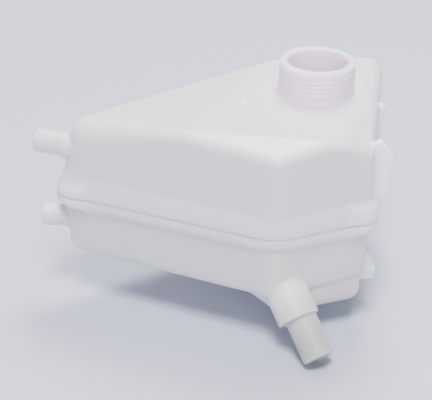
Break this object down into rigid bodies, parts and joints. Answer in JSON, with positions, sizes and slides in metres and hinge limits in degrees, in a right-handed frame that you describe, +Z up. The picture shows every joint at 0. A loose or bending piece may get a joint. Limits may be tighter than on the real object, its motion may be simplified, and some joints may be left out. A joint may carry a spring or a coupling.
{
  "type": "coolant expansion tank",
  "caption": "Wedge-shaped moulded coolant expansion tank of two welded shells, with a filler neck, two hose stubs at the narrow end, a slanted outlet spigot and side bracket lugs.",
  "frame": {"origin": "centre of the filler neck's mouth, on its axis in the plane of its rim", "axes": "+Z up along the filler neck's axis, which is square to the weld plane; -X towards the narrow end with the hose stubs; +Y towards the back wall, away from the outlet spigot"},
  "size_m": [0.2435, 0.1963, 0.1645],
  "materials": {
    "upper_shell": "natural milky polypropylene, satin",
    "lower_shell": "natural milky polypropylene, satin"
  },
  "bodies": {
    "root": {"upper_shell": "upper_shell", "lower_shell": "lower_shell"}
  },
  "joints": []
}
